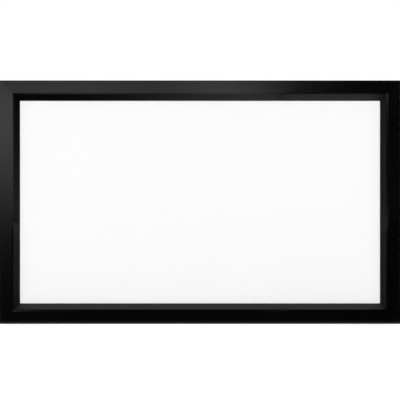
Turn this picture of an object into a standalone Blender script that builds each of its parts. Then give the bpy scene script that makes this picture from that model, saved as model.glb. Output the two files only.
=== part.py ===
# Fixed-frame projector screen: four mitred aluminium rails, a sheet of projection vinyl snapped to
# their backs, corner brackets, a support bar, two wall brackets and two rubber bumpers.
#
# X runs along the screen, its front faces -Y and +Z is up. The origin is the centre of the picture,
# on the sheet's front face. Lengths are in metres.
#
# A rail's section is drawn in two directions: out, the distance outwards from the picture's edge,
# and back, the distance behind the frame's front face. Every side of the frame is built as the top
# one, along X, and turned about Y to its place.

import math

import bmesh
import bpy
from mathutils import Matrix, Vector

# Picture and frame
picture_width = 1.771
picture_height = 0.996
border = 0.100
rail_depth = 0.038
wall = 0.0018

# Front of the rail: a bevel that falls to the picture, a soft shoulder and a flat face
bevel_width = 0.033
bevel_drop = 0.026
shoulder_radius = 0.022
edge_radius = 0.0025

# Back of the rail: the nose that the sheet lies on, the land of the snaps, and the two channels
nose_thickness = 0.0025
nose_land = 0.006
snap_room = 0.004
channel_start = 0.036
channel_width = 0.040
channel_lip = 0.008
hook_lip = 0.005

# Clearances
touch = 0.0003
mitre_gap = 0.0003
sheet_slack = 0.0032

# Sheet, binding and snaps
sheet_thickness = 0.0005
binding_width = 0.024
binding_thickness = 0.0012
binding_inset = 0.0005
sheet_corner = 0.006
snap_pitch = 0.190
snap_corner_inset = 0.015
stud_radius = 0.0035
stud_flange_radius = 0.0055
stud_flange_thickness = 0.0006
stud_crown = 0.0007
socket_radius = 0.0067
socket_floor = 0.0006
snap_post_radius = 0.0025
snap_cap_radius = 0.0072
snap_cap_height = 0.0016
snap_sides = 8

# Corner brackets and their screws
bracket_thickness = 0.0032
bracket_leg = 0.160
bracket_tip = 0.014
bracket_holes = (0.082, 0.138)
screw_radius = 0.003
screw_head_radius = 0.0055
screw_head_height = 0.003
screw_head_rim = 0.001
screw_crown_radius = 0.0034
screw_socket = 0.004
screw_socket_depth = 0.0018
screw_sides = 10

# Support bar
bar_width = 0.030
bar_thickness = 0.012
bar_wall = 0.0015
bar_inner_radius = 0.0005
bar_end_inset = 0.004
cap_flange = 0.0015
cap_plug = 0.010
nut_length = 0.024

# Wall brackets and bumpers
wall_clearance = 0.004
hanger_spacing = 0.900
hanger_width = 0.110
hanger_thickness = 0.0025
hanger_bend = 0.0015
hanger_plate = 0.052
hanger_drop = 0.002
hanger_room = 0.001
slot_width = 0.007
slot_length = 0.022
slot_spacing = 0.062
bumper_room = 0.0355
bumper_radius = 0.017
bumper_taper = 0.004
bumper_barb = 0.003
bumper_sides = 20

# Facets of the rounded shoulder and of a fold
arc_steps = 8
fold_steps = 3

# What follows from the sizes above
bevel_angle = math.atan2(bevel_drop, bevel_width)
shoulder_centre = bevel_width + shoulder_radius * math.tan(bevel_angle / 2)
sheet_face = bevel_drop + nose_thickness + touch
sheet_back = sheet_face + sheet_thickness
land = sheet_face - snap_room
channel_end = channel_start + channel_width
channel_middle = channel_start + channel_width / 2
channel_floor = rail_depth - wall - bracket_thickness - 2 * touch
sheet_margin = channel_start - wall - sheet_slack
binding_front = sheet_back + touch
binding_back = binding_front + binding_thickness
binding_out = sheet_margin - binding_inset - binding_width / 2
bracket_back = rail_depth - wall - touch
bar_stack = touch + bar_thickness + touch + screw_head_height
wall_plane = rail_depth + bar_stack + wall_clearance


def clear_scene():
    for old in list(bpy.data.objects):
        bpy.data.objects.remove(old, do_unlink=True)


def surface(name, colour, roughness, metallic=0.0):
    made = bpy.data.materials.new(name)
    made.use_nodes = True
    shader = made.node_tree.nodes["Principled BSDF"]
    shader.inputs["Base Color"].default_value = (*colour, 1.0)
    shader.inputs["Roughness"].default_value = roughness
    shader.inputs["Metallic"].default_value = metallic
    return made


def add(name, mesh, finish):
    if finish and not mesh.materials:
        mesh.materials.append(finish)
    made = bpy.data.objects.new(name, mesh)
    bpy.context.scene.collection.objects.link(made)
    return made


def helper(name, mesh):
    made = add(name, mesh, None)
    made.hide_render = True
    made.display_type = "WIRE"
    return made


def mesh_from(name, shape, smooth=False):
    bmesh.ops.remove_doubles(shape, verts=shape.verts, dist=1e-7)
    bmesh.ops.recalc_face_normals(shape, faces=shape.faces)
    mesh = bpy.data.meshes.new(name)
    shape.to_mesh(mesh)
    shape.free()
    if smooth:
        mesh.shade_smooth()
        mesh.set_sharp_from_angle(angle=math.radians(35))
    return mesh


def combine(target, tool, operation):
    step = target.modifiers.new(tool.name, "BOOLEAN")
    step.object = tool
    step.operation = operation
    step.solver = "EXACT"


# Shapes that several pieces use


def arc(centre, radius, start, end, steps):
    # Points of an arc, with the angles in radians from the first axis.
    x, y = centre
    angles = [start + (end - start) / steps * i for i in range(steps + 1)]
    return [(x + radius * math.cos(angle), y + radius * math.sin(angle)) for angle in angles]


def circle(centre, radius, sides):
    return arc(centre, radius, 0.0, 2 * math.pi * (sides - 1) / sides, sides - 1)


def fill(shape, loops, placed):
    # A flat face inside the first loop and outside the rest. The function places a loop's point.
    edges = []
    for loop in loops:
        corners = [shape.verts.new(placed(*point)) for point in loop]
        edges += [shape.edges.new((corners[i - 1], corners[i])) for i in range(len(corners))]
    bmesh.ops.triangle_fill(shape, edges=edges, use_beauty=True)


def walls(shape, loop, first_end, second_end):
    near = [shape.verts.new(first_end(*point)) for point in loop]
    far = [shape.verts.new(second_end(*point)) for point in loop]
    for i in range(len(loop)):
        shape.faces.new((near[i - 1], near[i], far[i], far[i - 1]))


def swept(shape, loops, first_end, second_end):
    # A solid between two placings of the same loops, an outline and its holes.
    fill(shape, loops, first_end)
    fill(shape, loops, second_end)
    for loop in loops:
        walls(shape, loop, first_end, second_end)


def plate(shape, loops, front, thickness):
    # A flat plate in the X-Z plane, with its holes.
    swept(
        shape,
        loops,
        lambda x, z: (x, front, z),
        lambda x, z: (x, front + thickness, z),
    )


def turned(shape, profile, sides):
    # A profile of (radius, back) turned round the Y axis.
    corners = [shape.verts.new((radius, back, 0.0)) for radius, back in profile]
    edges = [shape.edges.new(pair) for pair in zip(corners, corners[1:])]
    bmesh.ops.spin(
        shape,
        geom=corners + edges,
        cent=(0.0, 0.0, 0.0),
        axis=(0.0, 1.0, 0.0),
        angle=2 * math.pi,
        steps=sides,
        use_merge=False,
    )
    bmesh.ops.remove_doubles(shape, verts=shape.verts, dist=1e-7)


def turned_row(profile, sides, places):
    # The turned profile at each (x, z) place.
    row = bmesh.new()
    turned(row, profile, sides)
    first = row.verts[:] + row.edges[:] + row.faces[:]
    x0, z0 = places[0]
    for x, z in places[1:]:
        made = bmesh.ops.duplicate(row, geom=first)["geom"]
        copied = [part for part in made if isinstance(part, bmesh.types.BMVert)]
        bmesh.ops.translate(row, verts=copied, vec=(x - x0, 0.0, z - z0))
    bmesh.ops.translate(row, verts=row.verts, vec=(x0, 0.0, z0))
    return row


# The frame's sides

side_turns = {"top": 0, "right": 90, "bottom": 180, "left": 270}


def is_long(side):
    return side in ("top", "bottom")


def half_along(side):
    return (picture_width if is_long(side) else picture_height) / 2


def half_across(side):
    return (picture_height if is_long(side) else picture_width) / 2


def put_on_side(made, side):
    turn = Matrix.Rotation(math.radians(side_turns[side]), 4, "Y")
    place = turn @ Vector((0.0, -sheet_face, half_across(side)))
    made.location = place
    made.rotation_euler = (0.0, math.radians(side_turns[side]), 0.0)
    return made


def snap_places(side):
    # An even number of snaps, so that none lies behind the support bar.
    span = 2 * (half_along(side) - snap_corner_inset)
    gaps = 2 * round((span / snap_pitch - 1) / 2) + 1
    return [(-span / 2 + span * i / gaps, binding_out) for i in range(gaps + 1)]


# Rails


def front_skin(inset):
    # The front surface moved in by inset, from the end of the bevel to the flat face.
    centre = (shoulder_centre, shoulder_radius)
    return arc(
        centre,
        shoulder_radius - inset,
        -math.pi / 2 - bevel_angle,
        -math.pi / 2,
        arc_steps,
    )


def skin_back(out, inset):
    # How far back the inset front surface lies at a distance out.
    if out >= shoulder_centre:
        return inset
    radius = shoulder_radius - inset
    reach = shoulder_centre - out
    if reach <= radius * math.sin(bevel_angle):
        return shoulder_radius - math.sqrt(radius**2 - reach**2)
    return bevel_drop - math.tan(bevel_angle) * out + inset / math.cos(bevel_angle)


def rail_outline():
    lips_front = rail_depth - wall
    front = [
        (0.0, bevel_drop),
        *front_skin(0.0),
        *arc((border - edge_radius, edge_radius), edge_radius, -math.pi / 2, 0.0, 3),
    ]
    hook_channel = [
        (border, rail_depth),
        (border - wall - hook_lip, rail_depth),
        (border - wall - hook_lip, lips_front),
        (border - wall, lips_front),
        (border - wall, wall),
        (channel_end + wall, wall),
    ]
    bracket_channel = [
        (channel_end + wall, rail_depth),
        (channel_end - channel_lip, rail_depth),
        (channel_end - channel_lip, lips_front),
        (channel_end, lips_front),
        (channel_end, channel_floor),
        (channel_start, channel_floor),
        (channel_start, lips_front),
        (channel_start + channel_lip, lips_front),
        (channel_start + channel_lip, rail_depth),
        (channel_start - wall, rail_depth),
    ]
    nose = [
        (channel_start - wall, land),
        (nose_land, land),
        (nose_land, bevel_drop + nose_thickness),
        (0.0, bevel_drop + nose_thickness),
    ]
    return front + hook_channel + bracket_channel + nose


def bevel_cell():
    # The hollow between the bevel and the land of the snaps.
    floor = land - wall
    rise = bevel_drop + wall / math.cos(bevel_angle) - floor
    tip = rise / math.tan(bevel_angle)
    end = channel_start - wall
    inside = [point for point in front_skin(wall) if tip < point[0] < end]
    return [(tip, floor), *inside, (end, skin_back(end, wall)), (end, floor)]


def box_cell():
    # The hollow between the flat face and the bracket channel.
    inside = [point for point in front_skin(wall) if channel_start < point[0] < channel_end]
    return [
        (channel_start, skin_back(channel_start, wall)),
        *inside,
        (channel_end, wall),
        (channel_end, channel_floor - wall),
        (channel_start, channel_floor - wall),
    ]


def rail_mesh(side):
    half = half_along(side) - mitre_gap / math.sqrt(2)
    shape = bmesh.new()
    swept(
        shape,
        [rail_outline(), bevel_cell(), box_cell()],
        lambda out, back: (-half - out, back, out),
        lambda out, back: (half + out, back, out),
    )
    return mesh_from("rail", shape, smooth=True)


def stud_profile():
    # A snap stud riveted in the land, from inside the wall to its crown.
    top = sheet_face - touch - socket_floor - touch
    return [
        (0.0, land - wall / 2),
        (stud_flange_radius, land - wall / 2),
        (stud_flange_radius, land + stud_flange_thickness),
        (stud_radius, land + stud_flange_thickness),
        (stud_radius, top - stud_crown),
        (stud_radius - stud_crown, top),
        (0.0, top),
    ]


def build_rails(finish):
    for side in side_turns:
        rail = put_on_side(add(side + "_rail", rail_mesh(side), finish), side)
        studs = turned_row(stud_profile(), snap_sides, snap_places(side))
        row = helper(side + "_studs", mesh_from("studs", studs))
        combine(rail, put_on_side(row, side), "UNION")


# Sheet and binding


def sheet_outline():
    x = picture_width / 2 + sheet_margin
    z = picture_height / 2 + sheet_margin
    cut = sheet_corner
    return [
        (-x + cut, -z),
        (x - cut, -z),
        (x, -z + cut),
        (x, z - cut),
        (x - cut, z),
        (-x + cut, z),
        (-x, z - cut),
        (-x, -z + cut),
    ]


def build_sheet(finish):
    holes = []
    for side in side_turns:
        turn = Matrix.Rotation(math.radians(side_turns[side]), 3, "Y")
        for along, out in snap_places(side):
            centre = turn @ Vector((along, 0.0, half_across(side) + out))
            holes.append(circle((centre.x, centre.z), snap_post_radius + touch, snap_sides))
    shape = bmesh.new()
    plate(shape, [sheet_outline(), *holes], 0.0, sheet_thickness)
    add("projection_sheet", mesh_from("projection_sheet", shape), finish)


def socket_profile():
    # One snap's moving half: the socket in front of the sheet, the post and the domed cap behind it.
    rim = land + stud_flange_thickness + touch
    top = sheet_face - touch
    cup = stud_radius + touch
    dome = [
        (snap_cap_radius * math.cos(a), binding_back + snap_cap_height * math.sin(a))
        for a in (0.0, math.pi / 4)
    ]
    return [
        (0.0, top - socket_floor),
        (cup, top - socket_floor),
        (cup, rim),
        (socket_radius, rim),
        (socket_radius, top),
        (snap_post_radius, top),
        (snap_post_radius, (binding_front + binding_back) / 2),
        (snap_cap_radius, (binding_front + binding_back) / 2),
        *dome,
        (0.0, binding_back + snap_cap_height),
    ]


def build_bindings(finish):
    low = binding_out - binding_width / 2
    high = binding_out + binding_width / 2
    corner = sheet_corner - (2 - math.sqrt(2)) * binding_inset
    for side in side_turns:
        if is_long(side):
            half = half_along(side) + high
            right_end = [(half, low), (half, high - corner), (half - corner, high)]
        else:
            half = half_along(side) + low - touch
            right_end = [(half, low), (half, high)]
        left_end = [(-along, out) for along, out in reversed(right_end)]
        strip = bmesh.new()
        plate(strip, [right_end + left_end], binding_front, binding_thickness)
        name = "binding_" + side
        binding = put_on_side(add(name, mesh_from(name, strip), finish), side)
        snaps = turned_row(socket_profile(), snap_sides, snap_places(side))
        row = helper(side + "_snaps", mesh_from("snaps", snaps))
        combine(binding, put_on_side(row, side), "UNION")


# Corner brackets


def bracket_outline():
    # An angle whose outer corner is at the origin and whose legs run along -X and -Z.
    leg_width = channel_width - 2 * touch
    return [
        (-bracket_tip, 0.0),
        (-bracket_leg, 0.0),
        (-bracket_leg, -leg_width),
        (-leg_width, -leg_width),
        (-leg_width, -bracket_leg),
        (0.0, -bracket_leg),
        (0.0, -bracket_tip),
    ]


def bracket_screw_places():
    # From the bracket's outer corner, in the middle of each leg.
    middle = channel_width / 2 - touch
    return [(-along, -middle) for along in bracket_holes] + [
        (-middle, -along) for along in bracket_holes
    ]


def screw_mesh(name, length):
    # A button-head screw. Its head's underside is at back 0 and its shank runs forwards.
    shape = bmesh.new()
    turned(
        shape,
        [
            (0.0, -length),
            (screw_radius, -length),
            (screw_radius, 0.0),
            (screw_head_radius, 0.0),
            (screw_head_radius, screw_head_rim),
            (screw_crown_radius, screw_head_height),
        ],
        screw_sides,
    )
    # The head's flat top, with the hexagon socket let in.
    socket = circle((0.0, 0.0), screw_socket / math.sqrt(3), 6)
    crown = circle((0.0, 0.0), screw_crown_radius, screw_sides)
    fill(shape, [crown, socket], lambda x, z: (x, screw_head_height, z))
    floor = screw_head_height - screw_socket_depth
    fill(shape, [socket], lambda x, z: (x, floor, z))
    walls(shape, socket, lambda x, z: (x, floor, z), lambda x, z: (x, screw_head_height, z))
    return mesh_from(name, shape, smooth=True)


def build_screw(name, mesh, place, finish):
    screw = add(name, mesh, finish)
    screw.location = place


def build_corners(bracket_finish, screw_finish):
    shape = bmesh.new()
    hole_radius = screw_radius + touch
    holes = [circle(place, hole_radius, screw_sides) for place in bracket_screw_places()]
    plate(shape, [bracket_outline(), *holes], 0.0, bracket_thickness)
    mesh = mesh_from("corner_bracket", shape)
    screw = screw_mesh("corner_screw", bracket_thickness + touch)
    reach = channel_end - touch
    front = bracket_back - bracket_thickness - sheet_face
    for vertical, sign_z in (("top", 1), ("bottom", -1)):
        for horizontal, sign_x in (("left", -1), ("right", 1)):
            corner = vertical + "_" + horizontal
            # Each corner is the top right one turned about Y in quarter turns.
            quarter = {(1, 1): 0, (1, -1): 1, (-1, -1): 2, (-1, 1): 3}[sign_x, sign_z]
            turn = Matrix.Rotation(math.radians(90 * quarter), 4, "Y")
            x = sign_x * (picture_width / 2 + reach)
            z = sign_z * (picture_height / 2 + reach)
            bracket = add("corner_bracket_" + corner, mesh, bracket_finish)
            bracket.location = (x, front, z)
            bracket.rotation_euler = (0.0, math.radians(90 * quarter), 0.0)
            for number, (hole_x, hole_z) in enumerate(bracket_screw_places(), 1):
                offset = turn @ Vector((hole_x, 0.0, hole_z))
                place = (x + offset.x, bracket_back + touch - sheet_face, z + offset.z)
                name = f"corner_screw_{corner}_{number}"
                build_screw(name, screw, place, screw_finish)


# Support bar


def rounded_box(half_x, half_y, radius):
    corners = ((1, 1, 0), (-1, 1, 1), (-1, -1, 2), (1, -1, 3))
    points = []
    for sign_x, sign_y, quarter in corners:
        centre = (sign_x * (half_x - radius), sign_y * (half_y - radius))
        points += arc(centre, radius, quarter * math.pi / 2, (quarter + 1) * math.pi / 2, 2)
    return points


def build_support_bar(bar_finish, cap_finish, nut_finish, screw_finish):
    bar_front = rail_depth + touch - sheet_face
    bar_middle = bar_front + bar_thickness / 2
    bar_half = picture_height / 2 + channel_end - bar_end_inset
    screw_height = picture_height / 2 + channel_middle
    outside = rounded_box(bar_width / 2, bar_thickness / 2, bar_inner_radius + bar_wall)
    inside = rounded_box(bar_width / 2 - bar_wall, bar_thickness / 2 - bar_wall, bar_inner_radius)
    shape = bmesh.new()
    swept(
        shape,
        [outside, inside],
        lambda x, y: (x, bar_middle + y, -bar_half),
        lambda x, y: (x, bar_middle + y, bar_half),
    )
    bar = add("support_bar", mesh_from("support_bar", shape), bar_finish)
    drill_profile = [
        (0.0, bar_front - bar_thickness),
        (screw_radius + touch, bar_front - bar_thickness),
        (screw_radius + touch, bar_front + 2 * bar_thickness),
        (0.0, bar_front + 2 * bar_thickness),
    ]
    places = [(0.0, screw_height), (0.0, -screw_height)]
    drills = helper("bar_drills", mesh_from("drills", turned_row(drill_profile, screw_sides, places)))
    combine(bar, drills, "DIFFERENCE")

    cap = bmesh.new()
    swept(
        cap,
        [outside],
        lambda x, y: (x, bar_middle + y, touch),
        lambda x, y: (x, bar_middle + y, touch + cap_flange),
    )
    cap_mesh = mesh_from("support_bar_cap", cap)
    plug_room = bar_wall + touch
    plug_outline = rounded_box(
        bar_width / 2 - plug_room, bar_thickness / 2 - plug_room, bar_inner_radius
    )
    plug = bmesh.new()
    swept(
        plug,
        [plug_outline],
        lambda x, y: (x, bar_middle + y, -cap_plug),
        lambda x, y: (x, bar_middle + y, touch + cap_flange / 2),
    )
    plug_mesh = mesh_from("plug", plug)

    nut = bmesh.new()
    half_nut = channel_width / 2 - touch
    nut_outline = [
        (-nut_length / 2, -half_nut),
        (nut_length / 2, -half_nut),
        (nut_length / 2, half_nut),
        (-nut_length / 2, half_nut),
    ]
    thread = circle((0.0, 0.0), screw_radius + touch, screw_sides)
    plate(nut, [nut_outline, thread], 0.0, bracket_thickness)
    nut_mesh = mesh_from("channel_nut", nut)
    bar_back = bar_front + bar_thickness
    nut_front = bracket_back - bracket_thickness - sheet_face
    screw = screw_mesh("support_bar_screw", bar_back + touch - nut_front)
    for end, sign in (("top", 1), ("bottom", -1)):
        turned_over = (0.0, 0.0 if sign > 0 else math.pi, 0.0)
        cap_made = add("support_bar_cap_" + end, cap_mesh, cap_finish)
        plug_made = helper("plug_" + end, plug_mesh)
        for piece in (cap_made, plug_made):
            piece.location = (0.0, 0.0, sign * bar_half)
            piece.rotation_euler = turned_over
        combine(cap_made, plug_made, "UNION")
        nut_made = add("channel_nut_" + end, nut_mesh, nut_finish)
        nut_made.location = (0.0, nut_front, sign * screw_height)
        place = (0.0, bar_back + touch, sign * screw_height)
        build_screw("support_bar_screw_" + end, screw, place, screw_finish)


# Wall brackets


def folded(path, thickness, inner_radius):
    # The section of a sheet that is folded square along a path. The sheet lies to the path's left,
    # and each fold is rounded inside and outside.
    near, far = [Vector(path[0])], []
    ways = [(Vector(b) - Vector(a)).normalized() for a, b in zip(path, path[1:])]
    lefts = [Vector((-way.y, way.x)) * thickness for way in ways]
    far.append(near[0] + lefts[0])
    for i in range(1, len(ways)):
        before, after = ways[i - 1], ways[i]
        apex = Vector(path[i])
        turns_left = before.cross(after) > 0
        near_radius = inner_radius + (thickness if turns_left else 0.0)
        far_radius = inner_radius + (0.0 if turns_left else thickness)
        near += square_fold(apex, before, after, near_radius)
        far += square_fold(apex + lefts[i - 1] + lefts[i], before, after, far_radius)
    near.append(Vector(path[-1]))
    far.append(near[-1] + lefts[-1])
    return [tuple(point) for point in near + far[::-1]]


def square_fold(apex, before, after, radius):
    centre = apex + (after - before) * radius
    return [
        centre - after * (radius * math.cos(turn)) + before * (radius * math.sin(turn))
        for turn in (math.pi / 2 * i / fold_steps for i in range(fold_steps + 1))
    ]


def build_wall_brackets(finish):
    # The profile is drawn in (back, height above the picture's top edge).
    hook_top = border - wall - touch
    leg_top = border - wall - hook_lip - hanger_drop
    hook_back = rail_depth - wall - hanger_room
    leg_bottom = leg_top - hanger_thickness
    path = [
        (hook_back - hanger_thickness, hook_top),
        (hook_back - hanger_thickness, leg_bottom),
        (wall_plane - hanger_thickness, leg_bottom),
        (wall_plane - hanger_thickness, leg_bottom - hanger_plate),
    ]
    outline = folded(path, hanger_thickness, hanger_bend)
    slot_height = leg_bottom - hanger_plate / 2
    shape = bmesh.new()
    half = hanger_width / 2
    swept(
        shape,
        [outline],
        lambda back, height: (-half, back, height),
        lambda back, height: (half, back, height),
    )
    mesh = mesh_from("wall_bracket", shape)
    slots = bmesh.new()
    end = slot_length / 2 - slot_width / 2
    for sign in (-1, 1):
        centre = sign * slot_spacing / 2
        right = arc((centre + end, slot_height), slot_width / 2, -math.pi / 2, math.pi / 2, 6)
        left = arc((centre - end, slot_height), slot_width / 2, math.pi / 2, 3 * math.pi / 2, 6)
        plate(slots, [right + left], wall_plane - 3 * hanger_thickness, 6 * hanger_thickness)
    slots_mesh = mesh_from("slots", slots)
    for name, sign in (("left", -1), ("right", 1)):
        place = (sign * hanger_spacing / 2, -sheet_face, picture_height / 2)
        bracket = add("wall_bracket_" + name, mesh, finish)
        cut = helper("wall_slots_" + name, slots_mesh)
        bracket.location = place
        cut.location = place
        combine(bracket, cut, "DIFFERENCE")


# Bumpers


def build_bumpers(finish):
    # Turned about an axis along Y, from the barb in the channel to the face against the wall. Each
    # sits in the lower rail's channel, bumper_room away from the end of the corner bracket.
    barb_front = channel_floor + touch
    barb_back = barb_front + bumper_barb
    neck_radius = channel_width / 2 - channel_lip - touch
    barb_radius = neck_radius + channel_lip / 2
    bracket_end = picture_width / 2 + channel_end - touch - bracket_leg
    place = bracket_end - bumper_room - barb_radius
    foot = rail_depth + touch
    tip_radius = bumper_radius - bumper_taper
    profile = [
        (0.0, barb_front),
        (barb_radius - bumper_barb / 2, barb_front),
        (barb_radius, barb_back),
        (neck_radius, barb_back),
        (neck_radius, foot),
        (bumper_radius, foot),
        (bumper_radius, foot + bumper_barb),
        (tip_radius, wall_plane),
        (0.0, wall_plane),
    ]
    shape = bmesh.new()
    turned(shape, profile, bumper_sides)
    mesh = mesh_from("bumper", shape, smooth=True)
    for name, sign in (("left", -1), ("right", 1)):
        bumper = add("bumper_" + name, mesh, finish)
        height = -picture_height / 2 - channel_middle
        bumper.location = (sign * place, -sheet_face, height)


def build():
    clear_scene()
    satin_black = surface("satin_black", (0.006, 0.006, 0.006), 0.35)
    zinc = surface("zinc_steel", (0.62, 0.63, 0.64), 0.35, 1.0)
    vinyl = surface("matt_white_vinyl", (0.93, 0.93, 0.93), 0.7)
    webbing = surface("black_webbing", (0.03, 0.03, 0.032), 0.8)
    mill = surface("mill_aluminium", (0.75, 0.76, 0.77), 0.4, 1.0)
    plastic = surface("black_plastic", (0.02, 0.02, 0.02), 0.5)
    powder = surface("black_powder_coat", (0.015, 0.015, 0.016), 0.55)
    rubber = surface("black_rubber", (0.022, 0.022, 0.022), 0.75)
    build_rails(satin_black)
    build_sheet(vinyl)
    build_bindings(webbing)
    build_corners(zinc, zinc)
    build_support_bar(mill, plastic, zinc, zinc)
    build_wall_brackets(powder)
    build_bumpers(rubber)


build()
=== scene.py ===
import math

import bmesh
import bpy
from mathutils import Matrix, Vector


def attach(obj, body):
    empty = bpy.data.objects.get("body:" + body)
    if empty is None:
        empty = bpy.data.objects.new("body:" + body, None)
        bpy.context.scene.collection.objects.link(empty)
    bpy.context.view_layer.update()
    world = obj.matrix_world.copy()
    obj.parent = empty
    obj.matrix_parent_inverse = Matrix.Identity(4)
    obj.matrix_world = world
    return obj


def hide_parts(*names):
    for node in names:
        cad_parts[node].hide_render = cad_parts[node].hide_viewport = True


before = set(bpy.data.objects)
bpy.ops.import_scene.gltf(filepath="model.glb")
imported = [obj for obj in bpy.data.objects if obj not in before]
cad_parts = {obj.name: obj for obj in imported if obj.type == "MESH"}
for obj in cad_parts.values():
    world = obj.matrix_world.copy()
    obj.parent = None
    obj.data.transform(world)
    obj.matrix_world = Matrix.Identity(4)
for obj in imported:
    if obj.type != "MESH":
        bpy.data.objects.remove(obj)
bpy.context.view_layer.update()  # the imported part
print("frame loaded,", len(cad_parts), "nodes")

# The screen faces -Y, and the front of its sheet lies at y 0. Out is the distance outwards from
# the picture's edge, and back is the distance behind the frame's front face, as on a drawing of
# the rail. Sizes are in metres.

picture = {"width": 1.771, "height": 0.996}
frontFace = -0.0288


# Wires: shader and geometry maths written as sums

class Wire:
    # An output socket. A sum or product with it adds the Math node that works it out.
    def __init__(self, board, socket):
        self.board = board
        self.socket = socket

    def __add__(self, other):
        return self.board.maths("ADD", self, other)

    def __sub__(self, other):
        return self.board.maths("SUBTRACT", self, other)

    def __rsub__(self, other):
        return self.board.maths("SUBTRACT", other, self)

    def __mul__(self, other):
        return self.board.maths("MULTIPLY", self, other)

    def __pow__(self, other):
        return self.board.maths("POWER", self, other)

    __radd__ = __add__
    __rmul__ = __mul__


class Board:
    # A node tree, emptied, and the one way in which nodes are put on it.
    def __init__(self, tree):
        self.tree = tree
        tree.nodes.clear()

    def node(self, kind, settings=None, values=None, output=0):
        made = self.tree.nodes.new(kind)
        for name, value in (settings or {}).items():
            setattr(made, name, value)
        for name, value in (values or {}).items():
            for one in value if isinstance(value, list) else [value]:
                if isinstance(one, Wire):
                    self.tree.links.new(one.socket, made.inputs[name])
                else:
                    made.inputs[name].default_value = one
        if made.outputs:
            return Wire(self, made.outputs[output])

    def maths(self, operation, first, second=0.0):
        return self.node("ShaderNodeMath", {"operation": operation}, {0: first, 1: second})

    def limited(self, value, low, high):
        # 0 below low, 1 above high, and a soft rise between them.
        return self.node(
            "ShaderNodeMapRange",
            {"interpolation_type": "SMOOTHSTEP"},
            {"Value": value, "From Min": low, "From Max": high},
        )


# Outlines and solids in mesh code

def arcPoints(centre, radius, start, end, steps):
    # Points of an arc, with the angles in degrees from the first axis.
    x, y = centre
    turns = [math.radians(start + (end - start) / steps * i) for i in range(steps + 1)]
    return [(x + radius * math.cos(turn), y + radius * math.sin(turn)) for turn in turns]


def ringPoints(centre, radius, sides):
    return arcPoints(centre, radius, 0, 360 * (sides - 1) / sides, sides - 1)


def softened(points, steps=3):
    # A closed outline. A point's third number, where it has one, rounds that corner.
    outline = []
    for i, point in enumerate(points):
        here = Vector(point[:2])
        if len(point) < 3:
            outline.append(tuple(here))
            continue
        before = (Vector(points[i - 1][:2]) - here).normalized()
        after = (Vector(points[(i + 1) % len(points)][:2]) - here).normalized()
        half = before.angle(after) / 2
        centre = here + (before + after).normalized() * (point[2] / math.sin(half))
        first = here + before * (point[2] / math.tan(half)) - centre
        last = here + after * (point[2] / math.tan(half)) - centre
        span = first.angle(last)
        for step in range(steps + 1):
            t = span * step / steps
            spoke = (first * math.sin(span - t) + last * math.sin(t)) / math.sin(span)
            outline.append(tuple(centre + spoke))
    return outline


def wound(loop, leftwards):
    # The loop run anticlockwise, or clockwise for a hole, so that its left side is solid.
    area = sum(a[0] * b[1] - b[0] * a[1] for a, b in zip(loop, loop[1:] + loop[:1]))
    return loop if (area > 0) == leftwards else loop[::-1]


def movedIn(loop, distance):
    # The loop moved to its left, into the solid.
    if not distance:
        return loop
    leastShare = 0.4  # a sharp corner moves no more than 2.5 times as far
    moved = []
    for i, point in enumerate(loop):
        here = Vector(point)
        before = (here - Vector(loop[i - 1])).normalized()
        after = (Vector(loop[(i + 1) % len(loop)]) - here).normalized()
        leftBefore = Vector((-before.y, before.x))
        leftAfter = Vector((-after.y, after.x))
        way = (leftBefore + leftAfter).normalized()
        moved.append(tuple(here + way * (distance / max(leastShare, way.dot(leftBefore)))))
    return moved


def joinRows(shape, one, two):
    # A band of faces between two closed rows with as many corners.
    for i in range(len(one)):
        shape.faces.new((one[i - 1], one[i], two[i], two[i - 1]))


def fillRows(shape, rows):
    # A flat face inside the first closed row and outside the rest.
    edges = []
    for row in rows:
        for i in range(len(row)):
            ends = (row[i - 1], row[i])
            edges.append(shape.edges.get(ends) or shape.edges.new(ends))
    bmesh.ops.triangle_fill(shape, edges=edges, use_beauty=True)


def upright(x, z, depth):
    # A point of an outline in the X-Z plane, at a depth along Y.
    return x, depth, z


def ringSolid(shape, loops, rings, place=upright):
    # A solid from an outline and its holes. Each ring is (depth, how far the loops move in), and
    # place turns a loop's point and a depth into a point in space.
    fronts, backs = [], []
    for number, loop in enumerate(loops):
        loop = wound(list(loop), number == 0)
        rows = [
            [shape.verts.new(place(*point, depth)) for point in movedIn(loop, inset)]
            for depth, inset in rings
        ]
        for one, two in zip(rows, rows[1:]):
            joinRows(shape, one, two)
        fronts.append(rows[0])
        backs.append(rows[-1])
    fillRows(shape, fronts)
    fillRows(shape, backs)


def roundedRings(front, back, edge, steps=3):
    # The rings of a plate whose front and back edges are rounded.
    turns = [math.pi / 2 * i / steps for i in range(steps + 1)]
    rings = [(edge * (1 - math.cos(turn)), edge * (1 - math.sin(turn))) for turn in turns]
    near = [(front + depth, inset) for depth, inset in rings]
    return near + [(back - depth, inset) for depth, inset in reversed(rings)]


def turnedSolid(shape, profile, sides, centre=(0.0, 0.0)):
    # A profile of (radius, back) turned about an axis along Y, and closed at its poles.
    rows = []
    for radius, back in profile:
        ring = ringPoints(centre, radius, sides) if radius else [centre]
        rows.append([shape.verts.new((x, back, z)) for x, z in ring])
    for one, two in zip(rows, rows[1:]):
        if len(one) == len(two):
            joinRows(shape, one, two)
            continue
        pole, ring = sorted((one, two), key=len)
        for i in range(sides):
            shape.faces.new((pole[0], ring[i - 1], ring[i]))


def finishMesh(shape, mesh, sharp):
    # One skin with its faces outwards, smooth but for its sharp edges.
    bmesh.ops.remove_doubles(shape, verts=shape.verts, dist=1e-7)
    bmesh.ops.recalc_face_normals(shape, faces=shape.faces)
    shape.to_mesh(mesh)
    shape.free()
    mesh.shade_smooth()
    mesh.set_sharp_from_angle(angle=math.radians(sharp))
    return mesh


def meshOf(name, shape, sharp=32):
    return finishMesh(shape, bpy.data.meshes.new(name), sharp)


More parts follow.
